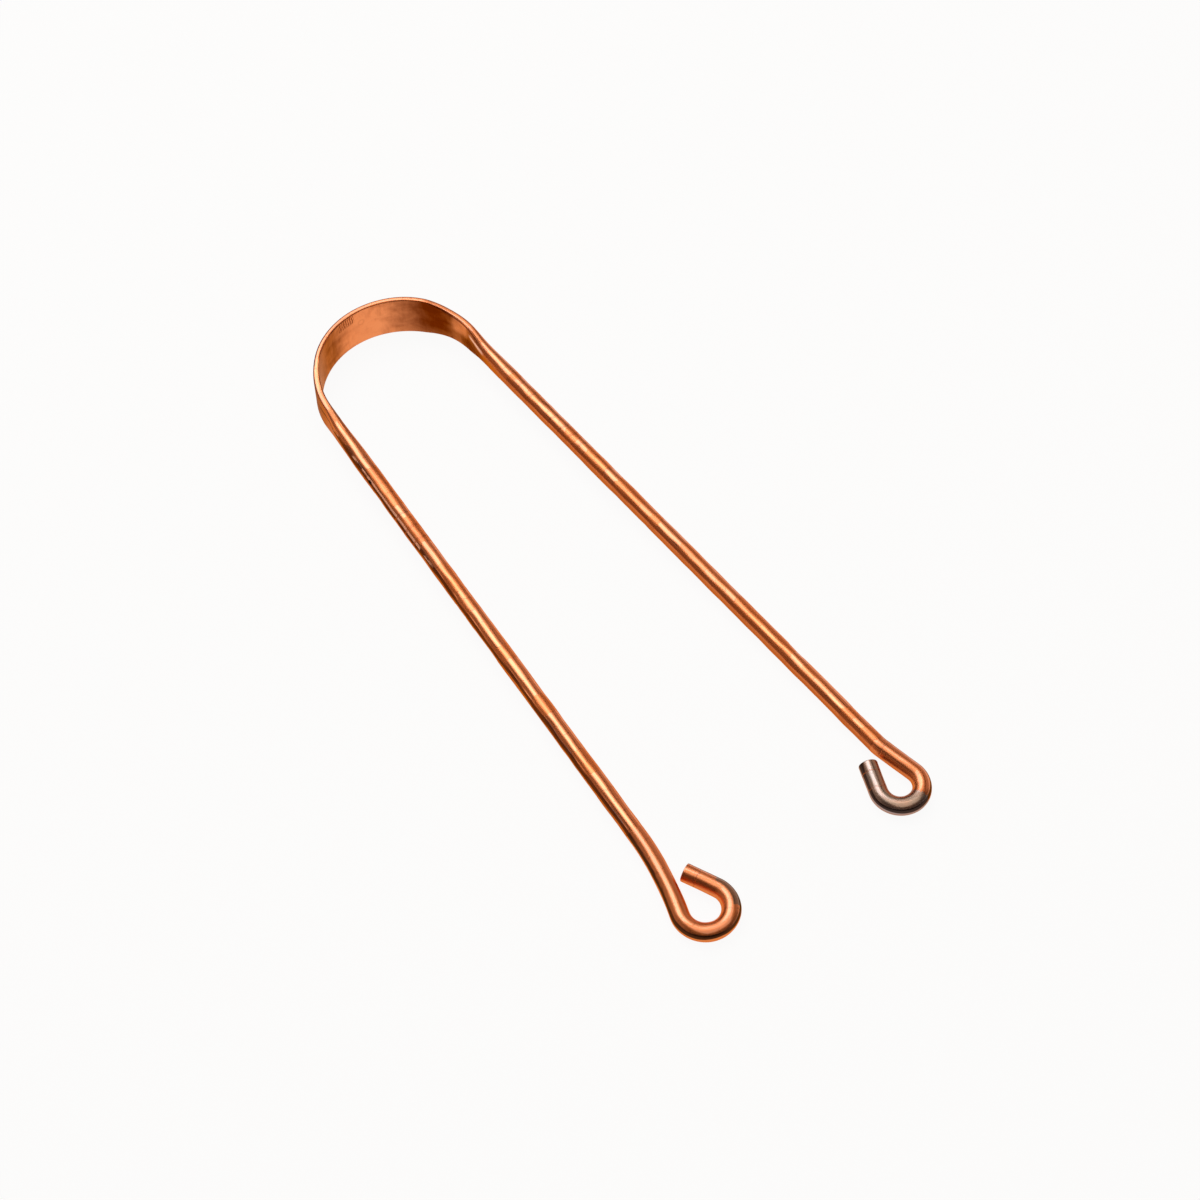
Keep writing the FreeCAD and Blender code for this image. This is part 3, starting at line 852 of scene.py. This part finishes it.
def arm_copper(finish):
    """The arms: polished rod with the marks of use, and painted dark and bright reflections."""
    side_fade = 1.0 * MM
    pit_end_soft, pit_soft, pit_out = 0.2 * MM, 0.15 * MM, mm(0.2, 0.6)
    inner_rise, inner_rise_soft, inner_out = (0.56, 0.74), 0.08, mm(-0.3, -0.6)
    metal = Metal("arm_copper", finish)
    tree = metal.tree
    on_left = ramp(tree, metal.along, 0.0, -side_fade)
    on_right = ramp(tree, metal.along, 0.0, side_fade)
    # painted dark reflection on the left arm's flank, and the painted bright reflection line through it
    flank, bright_reflection = arm_flank(metal)
    dark_reflection = product(tree, flank, on_left)
    pit = product(tree, window(tree, metal.along, *DARK_PIT_RUN, pit_end_soft),
                  window(tree, metal.up, *DARK_PIT_HEIGHTS, pit_soft),
                  ramp(tree, metal.out, *pit_out))
    # the wax is worn thin in stretches, which breaks the highlight into dashes
    waxed = ramp(tree, metal.segment, 0.3, 0.62, 0.35, 1.0)
    base = blend_colour(tree, dark_reflection, metal.polished(1.0, waxed), finish.dark_reflection)
    base = metal.bright_reflection_line(base, bright_reflection)
    base = blend_colour(tree, pit, base, finish.near_black)
    # the inner side of the right arm has a little painted dark reflection too
    inner = product(tree, window(tree, metal.rise, *inner_rise, inner_rise_soft),
                    ramp(tree, metal.out, *inner_out), on_right, 0.4)
    base = blend_colour(tree, inner, base, finish.dark_reflection)
    crossed = metal.ring_scratches([(along, CROSS_LINE_WIDTH) for along in CROSS_LINES])
    base = blend_colour(tree, product(tree, crossed, 0.6), base, finish.deep)
    rough = total(tree, metal.roughness(0.08, -0.04), ramp(tree, metal.segment, 0.0, 1.0, 0.07, -0.09),
                  product(tree, strongest(tree, bright_reflection, dark_reflection), DULLED_ROUGHNESS))
    return metal.finish(base, rough, metal.line_height, metal.mark_height,
                        product(tree, pit, -DARK_PIT_DEPTH), product(tree, crossed, -CROSS_LINE_DEPTH))


def bow_red_brown(metal, cloud, wisps, wander):
    """How far the band's inner face goes to the darker red-brown: deep on the right, light on the left, clear
    near the middle.
    """
    right_start, right_fade = mm(2, 14.5), mm(16, 21.5)
    left_start, left_fade = mm(-1, -7), mm(-10, -14)
    wedge_run, wedge_heights = mm(20.5, 23), mm(1.2, -0.2)
    clear_run, clear_heights, clear_soft = mm(19.6, 22.2), mm(0.4, 2.6), 1.2 * MM
    lower_edge, sway = mm(-4, -1.5), 0.8 * MM
    tree, along, up = metal.tree, metal.along, metal.up
    reach = total(tree, along, ramp(tree, wander, *NOISE_SPAN, -sway, sway))
    right = product(tree, ramp(tree, reach, *right_start, smooth=True),
                    ramp(tree, reach, *right_fade, 1.0, 0.6, smooth=True))
    left = product(tree, ramp(tree, along, *left_start, 0.0, 0.62, smooth=True),
                   ramp(tree, along, *left_fade, 1.0, 0.4, smooth=True))
    uneven = total(tree, ramp(tree, cloud, *NOISE_SPAN, -0.13, 0.13),
                   ramp(tree, wisps, 0.35, 0.7, -0.07, 0.09))
    uneven = product(tree, uneven, ramp(tree, right, 0.3, 1.0, 1.0, 0.3))
    faded_low = ramp(tree, up, *lower_edge, 0.82, 1.0)
    wedge = product(tree, ramp(tree, along, *wedge_run, 0.0, 0.42), ramp(tree, up, *wedge_heights))
    clear = metal.box(clear_run, clear_heights, clear_soft)
    red_brown_share = total(tree, product(tree, right, faded_low), left, uneven, wedge)
    return maths(tree, "SUBTRACT", red_brown_share, product(tree, clear, 0.35), clamp=True)


def bow_marks(metal, wisps):
    """Scratches, smears and spots on the band's inner face, each at its own strength."""
    ring_place, ring_outer, ring_inner = mm(0.6, 1.2), 0.75 * MM, 0.45 * MM
    speck_place, speck_radius = mm(18.6, -2.75), 0.28 * MM
    scratch_run, scratch_heights, scratch_spacing = mm(-4.4, -1.2), mm(2.3, 4.0), 0.085 * MM
    scrape_run, scrape_heights, scrape_spacing = mm(21.4, 23.2), mm(-2.4, 0.2), 0.09 * MM
    smear_run, smear_heights = mm(4.2, 5.0), mm(1.1, 2.9)
    ring_outer_soft, ring_inner_soft, speck_soft = mm(0.1, 0.12, 0.16)
    scratch_soft, scrape_soft, smear_soft = mm(0.5, 0.4, 0.5)
    tree = metal.tree
    ring = product(tree, metal.spot(ring_place, ring_outer, ring_outer_soft),
                   inverse(tree, metal.spot(ring_place, ring_inner, ring_inner_soft)), 0.14)
    scratched = product(tree, metal.box(scratch_run, scratch_heights, scratch_soft),
                        metal.hatch(scratch_spacing, -0.45))
    scraped = product(tree, metal.box(scrape_run, scrape_heights, scrape_soft),
                      metal.hatch(scrape_spacing, 0.3), 0.7)
    smear = product(tree, metal.box(smear_run, smear_heights, smear_soft),
                    ramp(tree, wisps, 0.3, 0.6), 0.22)
    speck = metal.spot(speck_place, speck_radius, speck_soft)
    return strongest(tree, ring, scratched, scraped, smear, speck)


def shoulder_dark_reflection(metal, wander):
    """Painted dark reflection on the outer face of the left shoulder and on the rim's outer corner, and the
    painted bright reflection line where the left arm starts.
    """
    edge_start = mm(-26, -31)
    stripe_run, stripe_heights = mm(-33, -19), mm(0.7, 1.1)
    stripe_end_soft, stripe_soft, stripe_sway = mm(2, 0.25, 0.5)
    brown_run, brown_soft = mm(-18, -15), 9 * MM
    corner_out, corner_heights, corner_run = mm(0.08, 0.28), mm(3.9, 4.1), mm(4, -8)
    tree, along = metal.tree, metal.along
    outer = ramp(tree, metal.out, *OUTER_FACE_OUT)
    flank, bright_reflection = arm_flank(metal)
    edge = product(tree, flank, ramp(tree, along, *edge_start))
    height = total(tree, metal.up, ramp(tree, wander, *NOISE_SPAN, -stripe_sway, stripe_sway))
    stripe = product(tree, outer, window(tree, along, *stripe_run, stripe_end_soft),
                     window(tree, height, *stripe_heights, stripe_soft), 0.8)
    brown = product(tree, outer, window(tree, along, *brown_run, brown_soft), 0.7)
    # painted dark reflection on the outer corner of the rim, most of all on the left
    corner = product(tree, ramp(tree, metal.out, *corner_out), ramp(tree, metal.up, *corner_heights),
                     ramp(tree, along, *corner_run, 0.35, 0.85))
    return strongest(tree, edge, stripe, brown, corner), bright_reflection


def bow_face(metal, red_brown_share):
    """Colour of the band's inner face: darker red-brown in places, greyish at the left end, with a painted
    highlight of a bright facet at the right.
    """
    dull_start = mm(-8.5, -13.5)
    facet_run, facet_heights, facet_middle, facet_slope = mm(24.2, 27.6), mm(1.05, 1.5), 26 * MM, 0.12
    facet_end_soft, facet_soft = mm(1.0, 0.25)
    tree, along, finish = metal.tree, metal.along, metal.colours
    face = blend_colour(tree, red_brown_share, finish.face, finish.stain)
    dull = ramp(tree, along, *dull_start, 0.0, 0.72, smooth=True)
    face = blend_colour(tree, dull, face, finish.dull)
    # painted highlight: the bright reflection of a facet at the right end of the inner face
    level = total(tree, metal.up, product(tree, difference(tree, along, facet_middle), facet_slope))
    facet = product(tree, window(tree, along, *facet_run, facet_end_soft),
                    window(tree, level, *facet_heights, facet_soft))
    return blend_colour(tree, facet, face, finish.facet)


def bow_copper(finish):
    """The bow: polished outside and on its rims, satin and darker red-brown in places on the inner face, with
    painted dark and bright reflections on the left shoulder.
    """
    face_heights, face_end, rod_start = mm(4.2, 4.4), mm(25, 31), mm(17, 30)
    metal = Metal("bow_copper", finish)
    tree = metal.tree
    from_crown = maths(tree, "ABSOLUTE", metal.along)
    inner = product(tree, ramp(tree, metal.out, *INNER_FACE_OUT, smooth=True),
                    ramp(tree, maths(tree, "ABSOLUTE", metal.up), *face_heights, 1.0, 0.0),
                    ramp(tree, from_crown, *face_end, 1.0, 0.0, smooth=True))
    bright = inverse(tree, inner)
    wander = noise(tree, metal.straight, WANDER_CELL, 3.0)
    cloud = noise(tree, metal.straight, CLOUD_CELL, 4.0, 0.6)
    wisps = noise(tree, metal.straight, WISP_CELL, 3.0, 0.8)
    marks = bow_marks(metal, wisps)
    face = bow_face(metal, strongest(tree, bow_red_brown(metal, cloud, wisps, wander), marks))
    # painted shade on the underside, weaker on the band and full on the rod
    on_rod = ramp(tree, from_crown, *rod_start, 0.35, 1.0, smooth=True)
    base = blend_colour(tree, inner, metal.polished(on_rod, bright), face)
    # painted dark and bright reflections on the left shoulder
    dark_reflection, bright_reflection = shoulder_dark_reflection(metal, wander)
    base = blend_colour(tree, dark_reflection, base, finish.dark_reflection)
    base = metal.bright_reflection_line(base, bright_reflection)
    satin = ramp(tree, cloud, *NOISE_SPAN, finish.satin - 0.06, finish.satin + 0.08)
    polish = total(tree, metal.roughness(0.06, -0.04),
                   product(tree, strongest(tree, bright_reflection, dark_reflection), DULLED_ROUGHNESS))
    rough = add(tree, "ShaderNodeMix", {0: inner, 2: polish, 3: satin}).outputs[0]
    return metal.finish(base, rough, product(tree, metal.line_height, bright),
                        product(tree, metal.mark_height, bright), product(tree, cloud, inner, CLOUD_HEIGHT),
                        product(tree, marks, inner, -FACE_MARK_DEPTH))


def eye_finish(metal, base, rings, ring_share, roughness):
    """The rest of an eye's finish: the painted black shade round it and the scratches near its cut end."""
    tree, colours = metal.tree, metal.colours
    base = blend_colour(tree, metal.effect("flank_grime", **EYE_BLACK_SHADE)["Grime"], base, colours.near_black)
    scratches = metal.ring_scratches(rings)
    base = blend_colour(tree, product(tree, scratches, ring_share), base, colours.deep)
    return metal.finish(base, roughness, metal.line_height, metal.mark_height,
                        product(tree, scratches, -EYE_RING_DEPTH))


def left_eye_copper(finish):
    """The left eye: polished, with a dark patch on the outside of the curl."""
    patch_out, patch_heights = mm(0.15, 0.4), mm(0.1, 0.5)
    metal = Metal("left_eye_copper", finish)
    tree = metal.tree
    patch = product(tree, metal.effect("tarnish_film", **LEFT_PATCH)["Film"],
                    ramp(tree, metal.out, *patch_out), ramp(tree, metal.up, *patch_heights))
    # a little painted shade on the underside
    base = blend_colour(tree, patch, metal.polished(0.15), finish.patch)
    return eye_finish(metal, base, LEFT_EYE_RINGS, 0.7, metal.roughness(0.12, 0.04))


def right_eye_copper(finish):
    """The right eye: copper neck, then a grey film to the cut end, where a rim of copper shows."""
    film_heights = mm(-1.15, -0.75)
    metal = Metal("right_eye_copper", finish)
    tree = metal.tree
    film = product(tree, metal.effect("tarnish_film", **RIGHT_FILM)["Film"],
                   ramp(tree, metal.up, *film_heights, 0.25, 1.0))
    # some painted shade on the underside
    base = blend_colour(tree, film, metal.polished(0.6), finish.film)
    return eye_finish(metal, base, RIGHT_EYE_RINGS, 0.55, metal.roughness(0.08, -0.02))


# Operators

# Distance between the rings of each kind of piece, and the points round its section
BOW_SPACING = 0.25 * MM
BOW_POINTS = 56
BOW_FLAT_POINTS = 16
ARM_SPACING = 0.5 * MM
ARM_POINTS = 96
EYE_SPACING = 0.2 * MM
EYE_POINTS = 72
# The eyes are rounder than the arms: their share of the facets' depth
EYE_FACET_SHARE = 0.25


class SCRAPER_OT_bow(bpy.types.Operator):
    """Builds the flat band of the bow with its shoulders"""
    bl_idname = "scraper.bow"
    bl_label = "Bow"

    def execute(self, context):
        sizes, finish = context.scene.scraper_sizes, context.scene.scraper_finish
        lay = laid_down(sizes)
        material = bow_copper(finish)
        for side in SIDES:
            at = starts(sizes, side)
            found = rings(sizes, at["bow"], at["arm"], BOW_SPACING)
            band = sweep(sizes, f"{side}_bow_band", side, found, material, BOW_POINTS, BOW_FLAT_POINTS)
            start = lay @ place(sizes, side, at["bow"])[0]
            end = lay @ place(sizes, side, sizes.bow * 2 * HINGE_TURN)[0]
            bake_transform(band)
            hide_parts("band_crown", f"{side}_band_side", f"{side}_shoulder")
        return {"FINISHED"}


class SCRAPER_OT_arms(bpy.types.Operator):
    """Builds the two straight arms"""
    bl_idname = "scraper.arms"
    bl_label = "Arms"

    def execute(self, context):
        sizes, finish = context.scene.scraper_sizes, context.scene.scraper_finish
        material = arm_copper(finish)
        for side in SIDES:
            at = starts(sizes, side)
            found = rings(sizes, at["arm"], at["neck"], ARM_SPACING)
            arm = sweep(sizes, f"{side}_arm_rod", side, found, material, ARM_POINTS, facet=sizes.facet_depth,
                        groove=sizes.groove_depth if side == "left" else 0.0)
            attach(arm, f"{side}_side")
            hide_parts(f"{side}_arm")
        return {"FINISHED"}


class SCRAPER_OT_eyes(bpy.types.Operator):
    """Builds the two curled eyes with their cut tails"""
    bl_idname = "scraper.eyes"
    bl_label = "Eyes"

    def execute(self, context):
        sizes, finish = context.scene.scraper_sizes, context.scene.scraper_finish
        for side, finisher in (("left", left_eye_copper), ("right", right_eye_copper)):
            at = starts(sizes, side)
            found = rings(sizes, at["neck"], at["cut_end"], EYE_SPACING, cut=True)
            eye = sweep(sizes, f"{side}_eye_curl", side, found, finisher(finish), EYE_POINTS,
                        facet=sizes.facet_depth * EYE_FACET_SHARE)
            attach(eye, f"{side}_side")
            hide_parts(f"{side}_eye")
        return {"FINISHED"}


# Studio

FLOOR_HALF = 2.0
FLOOR_DROP = 0.02 * MM
# How much of its own white the floor shows to the camera and in the metal
FLOOR_GLOW_SHARE = 0.93

# Softboxes and side cards: direction from the part, then distance, width and depth in metres, radiance,
# and the name of the stage's colour
LAMPS = {
    "top_softbox": ((0.0, 0.45, 0.89), 0.7, 0.44, 0.42, 2.2, "key"),
    "front_softbox": ((0.05, -0.32, 0.94), 0.75, 0.75, 0.6, 0.95, "fill"),
    "wide_softbox": ((0.05, 0.45, 0.88), 0.75, 0.96, 0.96, 0.8, "fill"),
    "right_card": ((0.95, 0.1, 0.3), 0.8, 0.9, 0.6, 0.42, "card"),
    "left_card": ((-0.83, 0.45, 0.33), 0.8, 0.9, 0.6, 0.26, "card"),
}

# The photograph's view of the flat drawing, and its breadth and focal length in pixels
VIEW_AZIMUTH = math.radians(-35.76)
VIEW_ELEVATION = math.radians(56.5)
VIEW_TARGET = mm(0.913, -59.06, 0.0)
VIEW_DISTANCE = 420.4 * MM
PHOTO_PX = 1200
FOCAL_PX = 2488.3
# The camera's sensor in millimetres, as Blender counts it, and how near and far it sees
SENSOR_WIDTH = 36.0
CLIP_START = 0.01
CLIP_END = 10.0


def softbox(name, tint, direction, distance, width, depth, radiance):
    """A soft rectangular lamp that shines on the middle of the part."""
    data = bpy.data.lights.new(name, "AREA")
    data.shape = "RECTANGLE"
    data.size, data.size_y = width, depth
    data.energy = math.pi * width * depth * radiance
    data.color = tint
    lamp = bpy.data.objects.new(name, data)
    bpy.context.scene.collection.objects.link(lamp)
    lamp.location = Vector(direction).normalized() * distance
    lamp.rotation_mode = "QUATERNION"
    lamp.rotation_quaternion = (-lamp.location).to_track_quat("-Z", "Y")


def white_floor(stage):
    """A pale floor that looks evenly white, however the lamps stand."""
    material = bpy.data.materials.new("floor_white")
    material.use_nodes = True
    tree = material.node_tree
    tree.nodes.clear()
    diffuse = add(tree, "ShaderNodeBsdfDiffuse", {"Color": (*stage.floor, 1.0)})
    glow = add(tree, "ShaderNodeEmission", {"Color": (1.0, 1.0, 1.0, 1.0), "Strength": 1.0})
    path = add(tree, "ShaderNodeLightPath").outputs
    straight_on = total(tree, path["Is Camera Ray"], path["Is Transmission Ray"])
    seen = product(tree, strongest(tree, straight_on, path["Is Glossy Ray"]), FLOOR_GLOW_SHARE)
    mixed = add(tree, "ShaderNodeMixShader", {0: seen, 1: diffuse.outputs[0], 2: glow.outputs[0]})
    add(tree, "ShaderNodeOutputMaterial", {"Surface": mixed.outputs[0]}, is_active_output=True)
    return material


class SCRAPER_OT_stage(bpy.types.Operator):
    """Builds the floor, the studio light and the camera"""
    bl_idname = "scraper.stage"
    bl_label = "Stage"

    def execute(self, context):
        sizes, stage = context.scene.scraper_sizes, context.scene.scraper_stage
        self.lay_floor(stage)
        for name, (*built, tint) in LAMPS.items():
            softbox(name, getattr(stage, tint), *built)
        self.light_surround(stage)
        self.place_camera(sizes)
        context.scene.view_settings.view_transform = "Standard"
        return {"FINISHED"}

    def lay_floor(self, stage):
        mesh = bpy.data.meshes.new("studio_floor")
        ways = ((-1, -1), (1, -1), (1, 1), (-1, 1))
        mesh.from_pydata([(x * FLOOR_HALF, y * FLOOR_HALF, -FLOOR_DROP) for x, y in ways], [], [(0, 1, 2, 3)])
        mesh.materials.append(white_floor(stage))
        floor = bpy.data.objects.new("studio_floor", mesh)
        bpy.context.scene.collection.objects.link(floor)

    def light_surround(self, stage):
        world = bpy.data.worlds.new("studio")
        world.use_nodes = True
        backdrop = world.node_tree.nodes["Background"]
        backdrop.inputs["Color"].default_value = (*stage.surround, 1.0)
        backdrop.inputs["Strength"].default_value = 1.0
        bpy.context.scene.world = world

    def place_camera(self, sizes):
        """The photograph's view: from the eyes' end, to the left and well above."""
        level = math.cos(VIEW_ELEVATION)
        back = Vector((math.sin(VIEW_AZIMUTH) * level, -math.cos(VIEW_AZIMUTH) * level,
                       math.sin(VIEW_ELEVATION)))
        right = Vector((math.cos(VIEW_AZIMUTH), math.sin(VIEW_AZIMUTH), 0.0))
        flat = Matrix((right, back.cross(right), back)).transposed().to_4x4()
        flat.translation = Vector(VIEW_TARGET) + back * VIEW_DISTANCE
        data = bpy.data.cameras.new("photo_view")
        data.sensor_width = SENSOR_WIDTH
        data.lens = SENSOR_WIDTH * FOCAL_PX / PHOTO_PX
        data.clip_start, data.clip_end = CLIP_START, CLIP_END
        camera = bpy.data.objects.new("photo_view", data)
        camera.matrix_world = laid_down(sizes) @ flat
        bpy.context.scene.collection.objects.link(camera)
        bpy.context.scene.camera = camera


class SCRAPER_PT_panel(bpy.types.Panel):
    """The scraper's builders and sizes"""
    bl_idname = "SCRAPER_PT_panel"
    bl_label = "Tongue Scraper"
    bl_space_type = "VIEW_3D"
    bl_region_type = "UI"
    bl_category = "Scraper"

    def draw(self, context):
        layout = self.layout
        for operator in (SCRAPER_OT_bow, SCRAPER_OT_arms, SCRAPER_OT_eyes, SCRAPER_OT_stage):
            layout.operator(operator.bl_idname)
        for group in (context.scene.scraper_sizes, context.scene.scraper_finish, context.scene.scraper_stage):
            column = layout.box().column()
            for name in group.__annotations__:
                column.prop(group, name)


CLASSES = (ScraperSizes, ScraperFinish, ScraperStage, SCRAPER_OT_bow, SCRAPER_OT_arms,
           SCRAPER_OT_eyes, SCRAPER_OT_stage, SCRAPER_PT_panel)


def register():
    for item in CLASSES:
        bpy.utils.register_class(item)
    bpy.types.Scene.scraper_sizes = bpy.props.PointerProperty(type=ScraperSizes)
    bpy.types.Scene.scraper_finish = bpy.props.PointerProperty(type=ScraperFinish)
    bpy.types.Scene.scraper_stage = bpy.props.PointerProperty(type=ScraperStage)


def unregister():
    del bpy.types.Scene.scraper_stage
    del bpy.types.Scene.scraper_finish
    del bpy.types.Scene.scraper_sizes
    for item in reversed(CLASSES):
        bpy.utils.unregister_class(item)


def main():
    register()
    bpy.ops.scraper.bow()
    bpy.ops.scraper.arms()
    bpy.ops.scraper.eyes()
    bpy.ops.scraper.stage()


if __name__ == "__main__":
    main()
